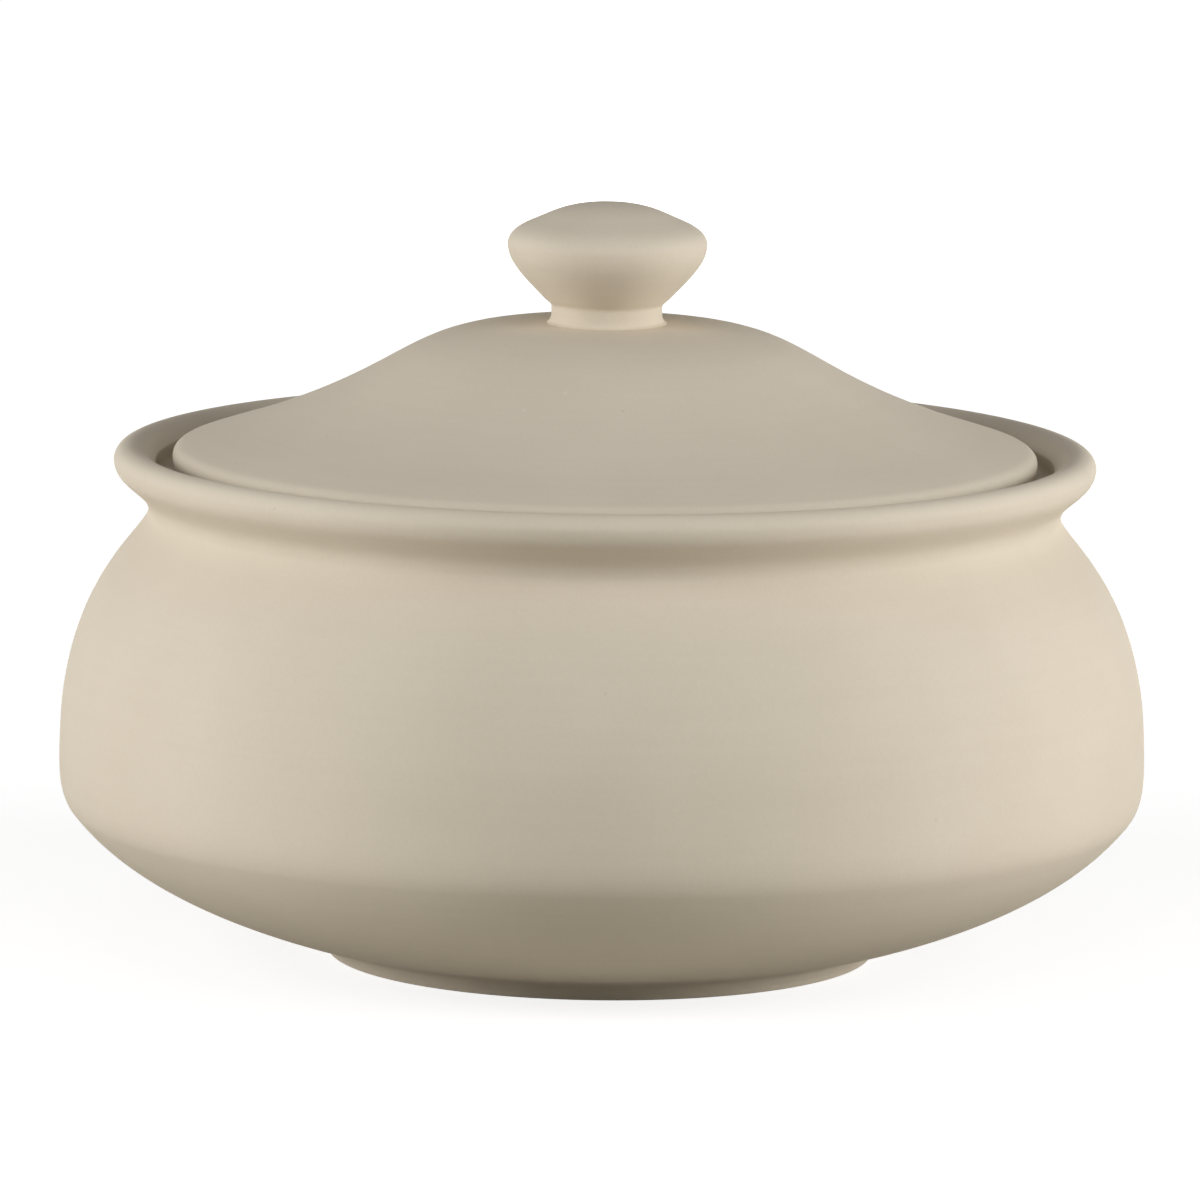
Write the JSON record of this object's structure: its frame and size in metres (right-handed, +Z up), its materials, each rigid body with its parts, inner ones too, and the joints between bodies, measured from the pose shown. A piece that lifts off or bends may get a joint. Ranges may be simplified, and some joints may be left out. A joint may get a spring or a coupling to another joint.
{
  "type": "lidded bowl",
  "caption": "Squat bellied serving bowl in unglazed earthenware with a foot ring and flared rim; its domed lid drops into a ledge inside the rim and lifts off by a knob.",
  "frame": {"origin": "on the table, at the centre of the foot ring", "axes": "+Z up, along the axis that every piece is turned about; -Y faces the viewer of the picture and +X is to their right"},
  "size_m": [0.25, 0.25, 0.174],
  "materials": {
    "bisque_bowl": "matte unglazed bisque",
    "bisque_lid": "matte unglazed bisque",
    "bisque_knob": "matte unglazed bisque"
  },
  "bodies": {
    "bowl": {"bowl": "bisque_bowl"},
    "lid": {"lid": "bisque_lid", "knob": "bisque_knob"}
  },
  "joints": [
    {"name": "lid_lift", "type": "slide", "parent": "bowl", "child": "lid", "axis": [0, 0, 1], "range_m": [0, 0.15]}
  ]
}
